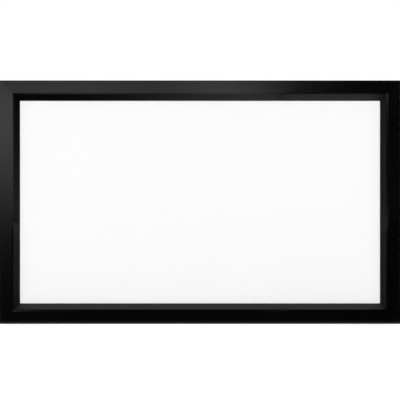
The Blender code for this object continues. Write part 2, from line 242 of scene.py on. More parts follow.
def newObject(name, data, *finishes):
    made = bpy.data.objects.new(name, data)
    bpy.context.scene.collection.objects.link(made)
    for finish in finishes:
        data.materials.append(finish)
    return made


def ringPiece(name, loops, rings, finish, place=upright, sharp=32):
    shape = bmesh.new()
    ringSolid(shape, loops, rings, place)
    return newObject(name, meshOf(name, shape, sharp), finish)


def handIn(piece, slotName, *nodes):
    # The piece moves with the part and stands for these nodes of it.
    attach(piece, "root")
    if nodes:
        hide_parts(*nodes)


def plainMesh(piece):
    # The piece with its modifiers worked out, as a mesh of its own.
    bpy.context.view_layer.update()
    seen = piece.evaluated_get(bpy.context.evaluated_depsgraph_get())
    mesh = bpy.data.meshes.new_from_object(seen)
    piece.modifiers.clear()
    piece.data = mesh
    return piece


def cleaned(piece, sharp):
    # The same finish on a mesh that a modifier has made.
    shape = bmesh.new()
    shape.from_mesh(piece.data)
    finishMesh(shape, piece.data, sharp)
    return piece


def cutBy(piece, toolShape):
    tool = newObject("tool", meshOf("tool", toolShape))
    cut = piece.modifiers.new("cut", "BOOLEAN")
    cut.operation = "DIFFERENCE"
    cut.solver = "EXACT"
    cut.object = tool
    plainMesh(piece)
    bpy.data.objects.remove(tool)
    return cleaned(piece, sharp=30)


# Geometry Nodes: the trees of what repeats or follows a rule

def geometryBoard(name, sizes):
    # A tree with these inputs beside its geometry, and its input wires by name.
    tree = bpy.data.node_groups.new(name, "GeometryNodeTree")
    tree.interface.new_socket("Geometry", in_out="OUTPUT", socket_type="NodeSocketGeometry")
    for label, (kind, value) in {"Geometry": ("Geometry", None), **sizes}.items():
        made = tree.interface.new_socket(label, in_out="INPUT", socket_type="NodeSocket" + kind)
        if value is not None:
            made.default_value = value
    board = Board(tree)
    entry = board.node("NodeGroupInput").socket.node
    return board, {socket.name: Wire(board, socket) for socket in entry.outputs if socket.name}


def endTree(board, geometry, finish):
    real = board.node("GeometryNodeRealizeInstances", None, {0: geometry})
    painted = board.node("GeometryNodeSetMaterial", None, {"Geometry": real, "Material": finish})
    board.node("NodeGroupOutput", None, {0: painted})
    return board.tree


def grow(piece, tree, sizes):
    # The tree's result on the piece, as a plain mesh. Its inputs are set before it is looked at.
    step = piece.modifiers.new("grow", "NODES")
    step.node_group = tree
    for item in tree.interface.items_tree:
        if item.in_out == "INPUT" and item.name in sizes:
            step[item.identifier] = sizes[item.name]
    return plainMesh(piece)


def mitredRailTree():
    # A flat section drawn in the Y-Z plane becomes a bar along X whose two ends are cut at 45
    # degrees. It is then turned about Y to its side of the frame.
    board, given = geometryBoard(
        "mitredRail",
        {
            "Half Length": ("Float", 0.5),
            "Distance": ("Float", 0.5),
            "Turn": ("Float", 0.0),
            "Finish": ("Material", None),
        },
    )
    along = board.node("ShaderNodeCombineXYZ", None, {0: 1.0})
    far = board.node(
        "GeometryNodeExtrudeMesh",
        {"mode": "FACES"},
        {"Mesh": given["Geometry"], "Offset": along, "Individual": False},
    )
    near = board.node("GeometryNodeFlipFaces", None, {0: given["Geometry"]})
    both = board.node("GeometryNodeJoinGeometry", None, {0: [near, far]})
    bar = board.node("GeometryNodeMergeByDistance", None, {"Geometry": both, "Distance": 1e-6})
    position = board.node("GeometryNodeInputPosition")
    x, y, out = (
        board.node("ShaderNodeSeparateXYZ", None, {0: position}, axis) for axis in range(3)
    )
    end = board.maths("GREATER_THAN", x, 0.5) * 2 - 1
    place = board.node(
        "ShaderNodeCombineXYZ",
        None,
        {0: end * (given["Half Length"] + out), 1: y, 2: out + given["Distance"]},
    )
    bar = board.node("GeometryNodeSetPosition", None, {"Geometry": bar, "Position": place})
    turn = board.node("ShaderNodeCombineXYZ", None, {1: given["Turn"]})
    bar = board.node("GeometryNodeTransform", None, {"Geometry": bar, "Rotation": turn})
    return endTree(board, bar, given["Finish"])


def rowTree():
    # Copies of one shape at even steps along each line of the base mesh. Each is turned to its
    # line, then about Y by a random angle.
    board, given = geometryBoard(
        "row",
        {
            "Shape": ("Object", None),
            "Pitch": ("Float", 0.1),
            "Random Turn": ("Float", 0.0),
            "Random Size": ("Float", 0.0),
            "Seed": ("Int", 1),
            "Finish": ("Material", None),
        },
    )
    path = board.node("GeometryNodeMeshToCurve", None, {"Mesh": given["Geometry"]})
    stops = board.node(
        "GeometryNodeResampleCurve", {"mode": "LENGTH"}, {"Curve": path, "Length": given["Pitch"]}
    )
    shape = board.node("GeometryNodeObjectInfo", None, {"Object": given["Shape"]}, "Geometry")
    tangent = board.node("GeometryNodeInputTangent")
    along = board.node("FunctionNodeAlignRotationToVector", {"axis": "X"}, {"Vector": tangent})

    def random(low, high, seed):
        values = {2: low, 3: high, "Seed": seed}
        return board.node("FunctionNodeRandomValue", {"data_type": "FLOAT"}, values, 1)

    spin = random(given["Random Turn"] * -1, given["Random Turn"], given["Seed"])
    spinY = board.node("ShaderNodeCombineXYZ", None, {1: spin})
    spun = board.node("FunctionNodeEulerToRotation", None, {0: spinY})
    turned = board.node(
        "FunctionNodeRotateRotation",
        {"rotation_space": "GLOBAL"},
        {"Rotation": along, "Rotate By": spun},
    )
    size = random(1 - given["Random Size"], given["Random Size"] + 1, given["Seed"] + 7)
    stretched = board.node("ShaderNodeCombineXYZ", None, {0: size, 1: 1.0, 2: 1.0})
    copies = board.node(
        "GeometryNodeInstanceOnPoints",
        None,
        {"Points": stops, "Instance": shape, "Rotation": turned, "Scale": stretched},
    )
    return endTree(board, copies, given["Finish"])


railTree = mitredRailTree()
copyTree = rowTree()


def linesOf(lines):
    # A base for the row tree: loose lines in space.
    mesh = bpy.data.meshes.new("lines")
    points = [point for line in lines for point in line]
    mesh.from_pydata(points, [(2 * i, 2 * i + 1) for i in range(len(lines))], [])
    return mesh


def repeated(name, lines, shapeMesh, pitch, finish, turn, size, seed):
    # The shape set along the lines by Geometry Nodes, as one piece.
    pattern = newObject("pattern", shapeMesh)
    piece = newObject(name, linesOf(lines))
    grow(
        piece,
        copyTree,
        {
            "Shape": pattern,
            "Pitch": pitch,
            "Random Turn": turn,
            "Random Size": size,
            "Seed": seed,
            "Finish": finish,
        },
    )
    bpy.data.objects.remove(pattern)
    return piece


# Finishes

class Finish(Board):
    # A material with one Principled shader. Numbers that don't vary are set on its own sockets.
    def __init__(self, name, constants):
        self.material = bpy.data.materials.new(name)
        self.material.use_nodes = True
        super().__init__(self.material.node_tree)
        self.shader = self.node("ShaderNodeBsdfPrincipled", None, constants)
        self.node("ShaderNodeOutputMaterial", None, {"Surface": self.shader})
        self.here = self.node("ShaderNodeTexCoord", None, None, "Object")

    def noise(self, scale, detail, stretch=(1, 1, 1), roughness=0.5):
        place = self.node("ShaderNodeMapping", None, {"Vector": self.here, "Scale": stretch})
        return self.node(
            "ShaderNodeTexNoise",
            None,
            {"Vector": place, "Scale": scale, "Detail": detail, "Roughness": roughness},
        )

    def axis(self, number):
        return self.node("ShaderNodeSeparateXYZ", None, {0: self.here}, number)

    def wave(self, value, pitch):
        # A ripple of that pitch, from -1 to 1.
        return self.maths("SINE", value * (2 * math.pi / pitch))

    def ribs(self, value, pitch):
        # Rounded ribs, two to a pitch, from 0 to 1.
        return self.maths("ABSOLUTE", self.wave(value, pitch))

    def blend(self, mask, first, second):
        ends = [(*end, 1.0) if isinstance(end, tuple) else end for end in (first, second)]
        values = {0: mask, 6: ends[0], 7: ends[1]}
        return self.node("ShaderNodeMix", {"data_type": "RGBA"}, values, 2)

    def bump(self, height, depth, strength, under=None):
        # Height from 0 to 1 stands for this many metres of depth.
        values = {"Height": height, "Distance": depth, "Strength": strength}
        if under:
            values["Normal"] = under
        return self.node("ShaderNodeBump", None, values)

    def fed(self, colour, roughness, normal):
        inputs = self.shader.socket.node.inputs
        for name, wire in (("Base Color", colour), ("Roughness", roughness), ("Normal", normal)):
            self.tree.links.new(wire.socket, inputs[name])
        return self.material


def satinBlack(name, lengthwise, gloss):
    # Satin black coat on extruded aluminium: a fine orange peel, faint drawing lines along the
    # rail that show through it, and soft changes of gloss.
    drawn = (0.02, 1.0, 1.0) if lengthwise == "X" else (1.0, 1.0, 0.02)
    coat = Finish(name, {"IOR": 1.5, "Specular IOR Level": gloss})
    cloud = coat.noise(3.0, 3.0)
    peel = coat.noise(900.0, 2.0)
    lines = coat.noise(420.0, 3.0, drawn)
    handled = coat.limited(coat.noise(26.0, 5.0, drawn, 0.62), 0.55, 0.8)
    colour = coat.blend(cloud, (0.0008, 0.0008, 0.0009), (0.0015, 0.0014, 0.0014))
    roughness = 0.19 + cloud * 0.02 + lines * 0.03 + handled * 0.02
    surface = coat.bump(peel, 0.000010, 0.5, coat.bump(lines, 0.000012, 0.5))
    return coat.fed(colour, roughness, surface)


def whiteVinyl(name):
    # Matt projection vinyl: an even white with a fine emboss that scatters the light.
    skin = Finish(name, {"IOR": 1.46, "Specular IOR Level": 0.25})
    emboss = skin.noise(1500.0, 3.0, (1, 1, 1), 0.6)
    cloud = skin.noise(2.2, 2.0)
    white, duller = 0.945, 0.988
    colour = skin.blend(cloud * 0.6 + emboss * 0.4, (white * duller,) * 3, (white,) * 3)
    return skin.fed(colour, 0.72 + emboss * 0.08, skin.bump(emboss, 0.00003, 0.35))


def clothBacking(name):
    # The sheet's rear: vinyl over a woven scrim whose threads show through as a fine grid.
    back = Finish(name, {"IOR": 1.46, "Specular IOR Level": 0.3})
    pitch = 0.0026
    warp, weft = (back.ribs(back.axis(number), pitch) ** 0.6 for number in (0, 2))
    scrim = back.maths("MINIMUM", warp, weft)
    cloud = back.noise(5.0, 4.0)
    grain = back.noise(700.0, 2.0)
    plain = back.blend(cloud, (0.80, 0.80, 0.785), (0.86, 0.86, 0.85))
    colour = back.blend(scrim * 0.5, (0.74, 0.74, 0.725), plain)
    normal = back.bump(grain, 0.00003, 0.4, back.bump(scrim, 0.00008, 0.6))
    return back.fed(colour, 0.62 + grain * 0.12, normal)


def webbing(name):
    # Black polyester webbing in a plain weave of 1.6 mm squares, with a dull fibre sheen.
    band = Finish(name, {"Sheen Weight": 0.25, "Sheen Roughness": 0.45, "Specular IOR Level": 0.25})
    x, z = band.axis(0), band.axis(2)
    square, rib, slant = 0.0032, 0.0016, 0.15
    over = band.limited(band.wave(x, square) * band.wave(z, square), -0.35, 0.35)
    ribs = band.ribs(x + z * slant, rib) * over + band.ribs(z + x * slant, rib) * (1 - over)
    fibre = band.noise(2600.0, 3.0, (1, 1, 1), 0.7)
    fade = band.noise(14.0, 3.0)
    # The ribs' crowns are painted lighter and the grooves between them darker: painted shade in the
    # weave's grooves, with fibre tone mixed in.
    paintedRibShade = band.blend(ribs * 0.7 + fibre * 0.3, (0.008, 0.008, 0.009), (0.034, 0.034, 0.036))
    colour = band.blend(fade * 0.35, paintedRibShade, (0.03, 0.029, 0.028))
    normal = band.bump(fibre, 0.00006, 0.5, band.bump(ribs, 0.00025, 0.9))
    return band.fed(colour, 0.78 + fibre * 0.16, normal)


def thread(name):
    # Bonded sewing thread, twisted, a little lighter than the webbing.
    cord = Finish(name, {"Sheen Weight": 0.2, "Specular IOR Level": 0.35})
    twist = cord.wave(cord.axis(0) + cord.axis(2), 0.0005) * 0.5 + 0.5
    fibre = cord.noise(3200.0, 2.0)
    # Lighter on the twist's ridges and darker in its grooves: painted shade in the twist's grooves,
    # with fibre tone mixed in.
    colour = cord.blend(twist * 0.6 + fibre * 0.4, (0.03, 0.03, 0.032), (0.10, 0.10, 0.104))
    return cord.fed(colour, 0.55 + fibre * 0.2, cord.bump(twist, 0.00008, 0.7))


def nickel(name):
    # Nickel plating on the pressed snaps, with fine rubs and a few dull patches.
    plate = Finish(name, {"Metallic": 1.0})
    rubs = plate.noise(900.0, 4.0, (1, 1, 0.08), 0.7)
    dull = plate.limited(plate.noise(120.0, 4.0), 0.45, 0.75)
    colour = plate.blend(dull, (0.66, 0.62, 0.56), (0.50, 0.47, 0.43))
    return plate.fed(colour, 0.22 + rubs * 0.10 + dull * 0.16, plate.bump(rubs, 0.00001, 0.4))


def zincPlate(name, colour):
    # Bright zinc on pressed steel: cool, faintly cloudy, with rolled lines and handling rubs.
    plate = Finish(name, {"Metallic": 1.0})
    cells = plate.node(
        "ShaderNodeTexVoronoi", {"feature": "F1"}, {"Vector": plate.here, "Scale": 190.0}, "Color"
    )
    spangle = plate.node("ShaderNodeSeparateColor", None, {0: cells}, 0)
    cloud = plate.noise(24.0, 4.0)
    rolled = plate.noise(500.0, 3.0, (0.03, 1, 1), 0.6)
    dark = tuple(c * 0.78 for c in colour)
    tint = plate.blend(cloud * 0.6 + spangle * 0.4, dark, colour)
    yellowed = plate.limited(cloud, 0.58, 0.8) * 0.35
    tint = plate.blend(yellowed, tint, (0.62, 0.60, 0.50))
    roughness = 0.30 + cloud * 0.12 + spangle * 0.06 + rolled * 0.05
    return plate.fed(tint, roughness, plate.bump(rolled, 0.00002, 0.4))


def drawnAluminium(name):
    # Mill finish aluminium tube: long drawing lines up its length and a few scuffs.
    tube = Finish(name, {"Metallic": 1.0})
    lines = tube.noise(700.0, 4.0, (1, 1, 0.008), 0.7)
    broad = tube.noise(90.0, 3.0, (1, 1, 0.02))
    scuff = tube.limited(tube.noise(38.0, 5.0, (1, 1, 0.4), 0.7), 0.62, 0.8)
    tint = tube.blend(broad * 0.6 + lines * 0.4, (0.60, 0.61, 0.62), (0.76, 0.77, 0.775))
    colour = tube.blend(scuff * 0.4, tint, (0.52, 0.53, 0.54))
    return tube.fed(colour, 0.26 + lines * 0.14 + scuff * 0.14, tube.bump(lines, 0.00002, 0.6))


def mouldedPlastic(name):
    # Black nylon caps with a fine spark-eroded grain.
    nylon = Finish(name, {"IOR": 1.5, "Specular IOR Level": 0.45})
    grain = nylon.noise(1900.0, 3.0, (1, 1, 1), 0.65)
    flow = nylon.noise(40.0, 3.0)
    colour = nylon.blend(flow, (0.010, 0.010, 0.011), (0.017, 0.017, 0.018))
    return nylon.fed(colour, 0.42 + grain * 0.16, nylon.bump(grain, 0.00004, 0.6))


def powderCoat(name):
    # Black powder coat on the wall brackets: a pebbled skin, rubbed a little where it is handled.
    coat = Finish(name, {"IOR": 1.5, "Specular IOR Level": 0.5})
    pebble = coat.noise(620.0, 2.0, (1, 1, 1), 0.4)
    cloud = coat.noise(20.0, 3.0)
    rub = coat.limited(coat.noise(75.0, 5.0, (0.3, 1, 1), 0.7), 0.6, 0.8)
    tint = coat.blend(cloud, (0.009, 0.009, 0.0095), (0.014, 0.014, 0.0145))
    colour = coat.blend(rub * 0.5, tint, (0.026, 0.026, 0.027))
    return coat.fed(colour, 0.46 + pebble * 0.10 - rub * 0.08, coat.bump(pebble, 0.00007, 0.7))


def blackRubber(name):
    # Moulded rubber feet: matt, with a bloom of dust in the pores.
    rubber = Finish(name, {"IOR": 1.5, "Specular IOR Level": 0.3})
    pores = rubber.noise(1300.0, 4.0, (1, 1, 1), 0.7)
    bloom = rubber.limited(rubber.noise(85.0, 4.0), 0.45, 0.8)
    tint = rubber.blend(pores, (0.012, 0.012, 0.012), (0.022, 0.022, 0.022))
    colour = rubber.blend(bloom * 0.45, tint, (0.045, 0.044, 0.042))
    return rubber.fed(colour, 0.72 + pores * 0.16, rubber.bump(pores, 0.00006, 0.6))


blackAcross = satinBlack("satinBlackAcross", "X", 0.44)
blackUpright = satinBlack("satinBlackUpright", "Z", 0.56)
vinylFront = whiteVinyl("mattWhiteVinyl")
vinylBack = clothBacking("vinylBacking")
bandCloth = webbing("blackWebbing")
bandThread = thread("sewingThread")
snapNickel = nickel("snapNickel")
zinc = zincPlate("brightZinc", (0.58, 0.60, 0.62))
screwZinc = zincPlate("screwZinc", (0.66, 0.67, 0.68))
bareTube = drawnAluminium("millAluminium")
capNylon = mouldedPlastic("blackNylon")
hangerPowder = powderCoat("blackPowderCoat")
footRubber = blackRubber("blackRubber")
print("finishes made")


# Where the sides lie

sideTurns = {"top": 0, "right": 90, "bottom": 180, "left": 270}  # degrees about Y from the top side


def isLong(side):
    return side in ("top", "bottom")


def halfAlong(side):
    return (picture["width"] if isLong(side) else picture["height"]) / 2


def halfAcross(side):
    return (picture["height"] if isLong(side) else picture["width"]) / 2


def onSide(side, along, out, y):
    # A point of a side, given as the top one has it.
    turn = Matrix.Rotation(math.radians(sideTurns[side]), 3, "Y")
    return turn @ Vector((along, y, halfAcross(side) + out))


# Rails

rail = {
    "border": 0.100,
    "depth": 0.038,
    "wall": 0.0018,
    "bevelWidth": 0.033,
    "bevelDrop": 0.026,
    "shoulder": 0.022,  # radius between the bevel and the flat face
    "outerEdge": 0.0025,
    "nose": 0.0025,
    "noseLand": 0.006,
    "land": 0.0248,  # how far back the snaps' land lies
    "channel": (0.036, 0.076),
    "channelFloor": 0.0324,
    "lip": 0.008,
    "hookLip": 0.005,
    "mitreGap": 0.00005,
    "strip": 0.0015,  # a narrow strip beside each curve, which keeps its shading off the flats
    "bevelStrip": 0.0025,
    "sideStrip": 0.001,
    # Roundings of the corners
    "tip": 0.0006,
    "root": 0.0005,
    "soft": 0.0004,
    "lipEdge": 0.0003,
    "groove": 0.0002,
}


def bevelBack(out):
    # How far back the bevel lies at a distance out.
    return rail["bevelDrop"] * (1 - out / rail["bevelWidth"])


def frontSkin(inset, steps):
    # The shoulder's arc, moved in by inset.
    angle = math.degrees(math.atan2(rail["bevelDrop"], rail["bevelWidth"]))
    middle = rail["bevelWidth"] + rail["shoulder"] * math.tan(math.radians(angle / 2))
    return arcPoints((middle, rail["shoulder"]), rail["shoulder"] - inset, -90 - angle, -90, steps)


def railOutline():
    # The extrusion: the front skin, the hook channel for the wall brackets, the bracket channel
    # with its two lips, the snaps' land and the nose that the sheet lies on.
    border, depth, wall, lip = rail["border"], rail["depth"], rail["wall"], rail["lip"]
    tip, root, soft, lipEdge, groove = (
        rail[name] for name in ("tip", "root", "soft", "lipEdge", "groove")
    )
    start, end = rail["channel"]
    lips = depth - wall
    hook = border - wall - rail["hookLip"]
    edge = rail["outerEdge"]
    nose = rail["bevelDrop"] + rail["nose"]
    skin = frontSkin(0.0, 26)
    beforeSkin = skin[0][0] - rail["strip"]
    outline = [
        (0.0, rail["bevelDrop"], tip),
        (rail["bevelStrip"], bevelBack(rail["bevelStrip"])),
        (beforeSkin, bevelBack(beforeSkin)),
        *skin,
        (skin[-1][0] + rail["strip"], 0.0),
        (border - edge - rail["strip"], 0.0),
        *arcPoints((border - edge, edge), edge, -90, 0, 8),
        (border, edge + rail["sideStrip"]),
        (border, depth - rail["strip"]),
        # The hook channel
        (border, depth, soft),
        (hook, depth, soft),
        (hook, lips, lipEdge),
        (border - wall, lips, soft),
        (border - wall, wall, root),
        (end + wall, wall, root),
        # The bracket channel
        (end + wall, depth, soft),
        (end - lip, depth, soft),
        (end - lip, lips, lipEdge),
        (end, lips, groove),
        (end, rail["channelFloor"], groove),
        (start, rail["channelFloor"], groove),
        (start, lips, groove),
        (start + lip, lips, lipEdge),
        (start + lip, depth, soft),
        # The land and the nose
        (start - wall, depth, soft),
        (start - wall, rail["land"], root),
        (rail["noseLand"], rail["land"], soft),
        (rail["noseLand"], nose, soft),
        (0.0, nose, tip),
    ]
    return softened(outline)


def railCells():
    # The two hollows, behind the bevel and in front of the bracket channel.
    wall = rail["wall"]
    start, end = rail["channel"]
    floor = rail["land"] - wall
    inner = frontSkin(wall, 12)
    slope = rail["bevelDrop"] / rail["bevelWidth"]
    tip = (rail["bevelDrop"] + wall * math.sqrt(1 + slope * slope) - floor) / slope
    web = start - wall
    radius = rail["shoulder"] - wall

    def skinBack(out):
        return rail["shoulder"] - math.sqrt(radius**2 - (inner[-1][0] - out) ** 2)

    bevelCell = [
        (tip, floor),
        *[point for point in inner if point[0] < web],
        (web, skinBack(web)),
        (web, floor),
    ]
    boxCell = [
        (start, skinBack(start)),
        *[point for point in inner if point[0] > start],
        (end, wall),
        (end, rail["channelFloor"] - wall),
        (start, rail["channelFloor"] - wall),
    ]
    return [bevelCell, boxCell]


def sectionMesh():
    # The flat section that the rail tree extrudes.
    shape = bmesh.new()
    rows = []
    for loop in (railOutline(), *railCells()):
        rows.append([shape.verts.new((0.0, back + frontFace, out)) for out, back in loop])
    fillRows(shape, rows)
    mesh = bpy.data.meshes.new("railSection")
    shape.to_mesh(mesh)
    shape.free()
    return mesh


for side, turn in sideTurns.items():
    piece = newObject(side + "Rail", sectionMesh())
    grow(
        piece,
        railTree,
        {
            "Half Length": halfAlong(side) - rail["mitreGap"] / math.sqrt(2),
            "Distance": halfAcross(side),
            "Turn": math.radians(turn),
            "Finish": blackAcross if isLong(side) else blackUpright,
        },
    )
    handIn(cleaned(piece, sharp=30), "satin_black", side + "_rail")
print("rails extruded and mitred")


# Snaps: a stud riveted to the rail, and a socket, post and cap that clench the sheet

snap = {
    "pitch": 0.190,
    "cornerInset": 0.015,
    "out": 0.0185,
    "sides": 20,
    "hole": 0.0028,  # radius of the hole punched for the post
    "holeSides": 12,
}

# (radius, y) of each, turned about its axis
studProfile = [
    (0.0, -0.0047), (0.0024, -0.0047), (0.0024, -0.0040),  # rivet
    (0.0053, -0.0040), (0.0055, -0.0038), (0.0055, -0.0036), (0.0052, -0.0034),  # flange
    (0.0033, -0.0034), (0.0031, -0.0031), (0.0031, -0.0026),  # neck
    (0.0035, -0.0021), (0.0035, -0.0017), (0.0032, -0.0013), (0.0026, -0.0012),  # bead
    (0.0010, -0.0012), (0.0008, -0.0014), (0.0, -0.0014),  # dimple
]
capProfile = [
    (0.0, -0.0009), (0.0038, -0.0009), (0.0038, -0.0029),  # inside of the socket
    (0.0040, -0.0031), (0.0050, -0.0031), (0.0056, -0.0029), (0.0060, -0.0015),  # its rim
    (0.0066, -0.0009), (0.0067, -0.0006), (0.0065, -0.0003), (0.0025, -0.0003),  # its flange
    (0.0025, 0.0021), (0.0068, 0.0021),  # post and underside of the cap
    (0.0071, 0.0022), (0.0072, 0.0025), (0.0071, 0.0028), (0.0067, 0.0030),  # rolled edge
    (0.0060, 0.0031), (0.0050, 0.0034), (0.0036, 0.0036), (0.0018, 0.0036), (0.0, 0.0036),  # dome
]


def snapLine(side):
    half = halfAlong(side) - snap["cornerInset"]
    return onSide(side, -half, snap["out"], 0.0), onSide(side, half, snap["out"], 0.0)


def snapStops(side):
    # The same even steps as the row tree makes, for the holes.
    first, last = snapLine(side)
    gaps = int((last - first).length / snap["pitch"] + 1e-6)
    return [first.lerp(last, i / gaps) for i in range(gaps + 1)]


def snapHoles(side):
    return [ringPoints((stop.x, stop.z), snap["hole"], snap["holeSides"]) for stop in snapStops(side)]


for name, profile in (("snapStuds", studProfile), ("snapCaps", capProfile)):
    shape = bmesh.new()
    turnedSolid(shape, profile, snap["sides"])
    mesh = meshOf(name, shape, sharp=40)
    lines = [snapLine(side) for side in sideTurns]
    piece = repeated(name, lines, mesh, snap["pitch"], snapNickel, turn=math.pi, size=0.0, seed=3)
    handIn(cleaned(piece, sharp=40), "zinc_steel")
print("snaps set,", sum(len(snapStops(side)) for side in sideTurns), "of each half")


# Sheet and binding

sheetCut = {
    "margin": 0.031,  # past the picture's edge, under the rail
    "thickness": 0.0005,
    "corner": 0.006,
    "scallop": 0.0008,  # how far the free edge draws in between two snaps
    "step": 0.0065,
}

band = {
    "low": 0.0065,
    "high": 0.0305,
    "front": 0.0008,
    "back": 0.0020,
    "edge": 0.0004,
    "gap": 0.0003,  # between the bands of two sides, at the corners
    "stitch": 0.0032,
    "stitchPitch": 0.0041,
    "stitchInset": 0.004,  # from the band's end
    "threadRadius": 0.00028,
    "threadSides": 5,
    "seams": (0.0088, 0.0282),  # the two rows of stitches, out from the picture
}


def drawnIn(side, along):
    # How far the tension between the snaps draws the edge in at a place along a side.
    half = halfAlong(side) - snap["cornerInset"]
    if abs(along) >= half:
        return 0.0
    gaps = len(snapStops(side)) - 1
    phase = (along + half) / (2 * half) * gaps
    return sheetCut["scallop"] * math.sin(math.pi * phase) ** 2


def edgePoints(side, start, end, out):
    count = max(2, round(abs(end - start) / sheetCut["step"]))
    places = [start + (end - start) * i / count for i in range(count + 1)]
    return [(along, out - drawnIn(side, along)) for along in places]


def flatPoints(side, points):
    places = [onSide(side, along, out, 0.0) for along, out in points]
    return [(place.x, place.z) for place in places]


def sheetOutline():
    loop = []
    for side in sideTurns:
        half = halfAlong(side) + sheetCut["margin"] - sheetCut["corner"]
        loop += flatPoints(side, edgePoints(side, -half, half, sheetCut["margin"]))
    return loop


def bandOutline(side):
    # The long sides' bands run to the corners, and the short sides' stop below them.
    low, high = band["low"], band["high"]
    if isLong(side):
        half = halfAlong(side) + high
        cut = sheetCut["corner"] - band["gap"]
        upper = edgePoints(side, -half + cut, half - cut, high)
        points = [(-half, low), (-half, high - cut), *upper, (half, high - cut), (half, low)]
    else:
        half = halfAlong(side) + low - band["gap"]
        points = [(-half, low), *edgePoints(side, -half, half, high), (half, low)]
    return flatPoints(side, points)


sheetHoles = [hole for side in sideTurns for hole in snapHoles(side)]
projectionSheet = ringPiece(
    "projectionSheet",
    [sheetOutline(), *sheetHoles],
    [(0.0, 0.0), (sheetCut["thickness"], 0.0)],
    vinylFront,
    sharp=30,
)
projectionSheet.data.materials.append(vinylBack)
for face in projectionSheet.data.polygons:
    face.material_index = 1 if face.normal.y > 0.5 else 0
handIn(projectionSheet, "white_vinyl", "projection_sheet")
print("sheet cut and punched")

for side in sideTurns:
    rings = roundedRings(band["front"], band["back"], band["edge"], 2)
    loops = [bandOutline(side), *snapHoles(side)]
    piece = ringPiece(side + "Binding", loops, rings, bandCloth, sharp=40)
    handIn(piece, "black_webbing", "binding_" + side)


def stitchMesh():
    # One lock stitch: a short thread that rises from one needle hole and dives into the next.
    half, radius, sides = band["stitch"] / 2, band["threadRadius"], band["threadSides"]
    # (place along it, lift, thickness), with the two last as shares of the radius
    end, bend, top = (1.0, -0.6, 0.55), (0.8, 0.5, 0.95), (0.0, 0.95, 1.0)
    stations = [(-end[0], *end[1:]), (-bend[0], *bend[1:]), top, bend, end]
    shape = bmesh.new()
    rows = []
    for t, lift, thick in stations:
        ring = ringPoints((0.0, 0.0), radius * thick, sides)
        rows.append([shape.verts.new((t * half, y + lift * radius, z)) for y, z in ring])
    for one, two in zip(rows, rows[1:]):
        joinRows(shape, one, two)
    shape.faces.new(rows[0])
    shape.faces.new(rows[-1])
    return meshOf("stitch", shape, sharp=80)


seamLines = []
for side in sideTurns:
    reach = halfAlong(side) + band["high" if isLong(side) else "low"] - band["stitchInset"]
    for out in band["seams"]:
        seamLines.append([onSide(side, end * reach, out, band["back"]) for end in (-1, 1)])
stitches = repeated(
    "bindingStitches",
    seamLines,
    stitchMesh(),
    band["stitchPitch"],
    bandThread,
    turn=0.06,
    size=0.06,
    seed=11,
)
handIn(stitches, "black_webbing")
print("bindings sewn")


# Corner brackets, channel nuts and screws

corner = {
    "reach": 0.0757,  # from the picture's edge to the bracket's outer corner
    "front": 0.0039,
    "back": 0.0071,
    "leg": 0.160,
    "legWidth": 0.0394,
    "tip": 0.014,
    "tipRadius": 0.002,
    "endRadius": 0.0025,
    "holes": (0.082, 0.138),
    "holeRadius": 0.0033,
    "holeSides": 24,
    "edge": 0.0004,
    "screwLength": 0.0035,
}

screw = {
    "shank": 0.003,
    "point": 0.0005,  # the chamfer at the shank's end
    "head": 0.0055,
    "height": 0.003,
    "crown": 0.50,  # the flat top's share of the head's width
    "socket": 0.004,  # hexagon across flats
    "socketDepth": 0.0018,
    "mouth": (1.06, 0.0002),  # how much wider the socket opens, and from how deep
    "drillTip": 0.0004,
    "sides": 32,
    "gap": 0.0003,  # under its head
}


def cornerOutline():
    leg, width, tip = corner["leg"], corner["legWidth"], corner["tip"]
    tipRadius, endRadius = corner["tipRadius"], corner["endRadius"]
    outline = [
        (-tip, 0.0, tipRadius),
        (-leg, 0.0, endRadius),
        (-leg, -width, endRadius),
        (-width, -width),
        (-width, -leg, endRadius),
        (0.0, -leg, endRadius),
        (0.0, -tip, tipRadius),
    ]
    return softened(outline, 5)


def cornerPoint(signX, signZ, x, z):
    # A bracket's point, drawn for the top right corner and turned to its own.
    quarter = {(1, 1): 0, (1, -1): 1, (-1, -1): 2, (-1, 1): 3}[signX, signZ]
    for turn in range(quarter):
        x, z = z, -x
    middleX = signX * (picture["width"] / 2 + corner["reach"])
    middleZ = signZ * (picture["height"] / 2 + corner["reach"])
    return middleX + x, middleZ + z


plateRings = roundedRings(corner["front"], corner["back"], corner["edge"])
legMiddle = corner["legWidth"] / 2
spots = [(-hole, -legMiddle) for hole in corner["holes"]]
spots += [(z, x) for x, z in spots]
cornerScrews, screwNodes = [], []
for vertical, signZ in (("top", 1), ("bottom", -1)):
    for horizontal, signX in (("left", -1), ("right", 1)):
        where = vertical + "_" + horizontal
        outline = [cornerPoint(signX, signZ, *point) for point in cornerOutline()]
        centres = [cornerPoint(signX, signZ, *spot) for spot in spots]
        holes = [ringPoints(spot, corner["holeRadius"], corner["holeSides"]) for spot in centres]
        cornerScrews += centres
        screwNodes += [f"corner_screw_{where}_{number}" for number in (1, 2, 3, 4)]
        name = vertical + horizontal.capitalize() + "Corner"
        piece = ringPiece(name, [outline, *holes], plateRings, zinc)
        handIn(piece, "zinc_steel", "corner_bracket_" + where)


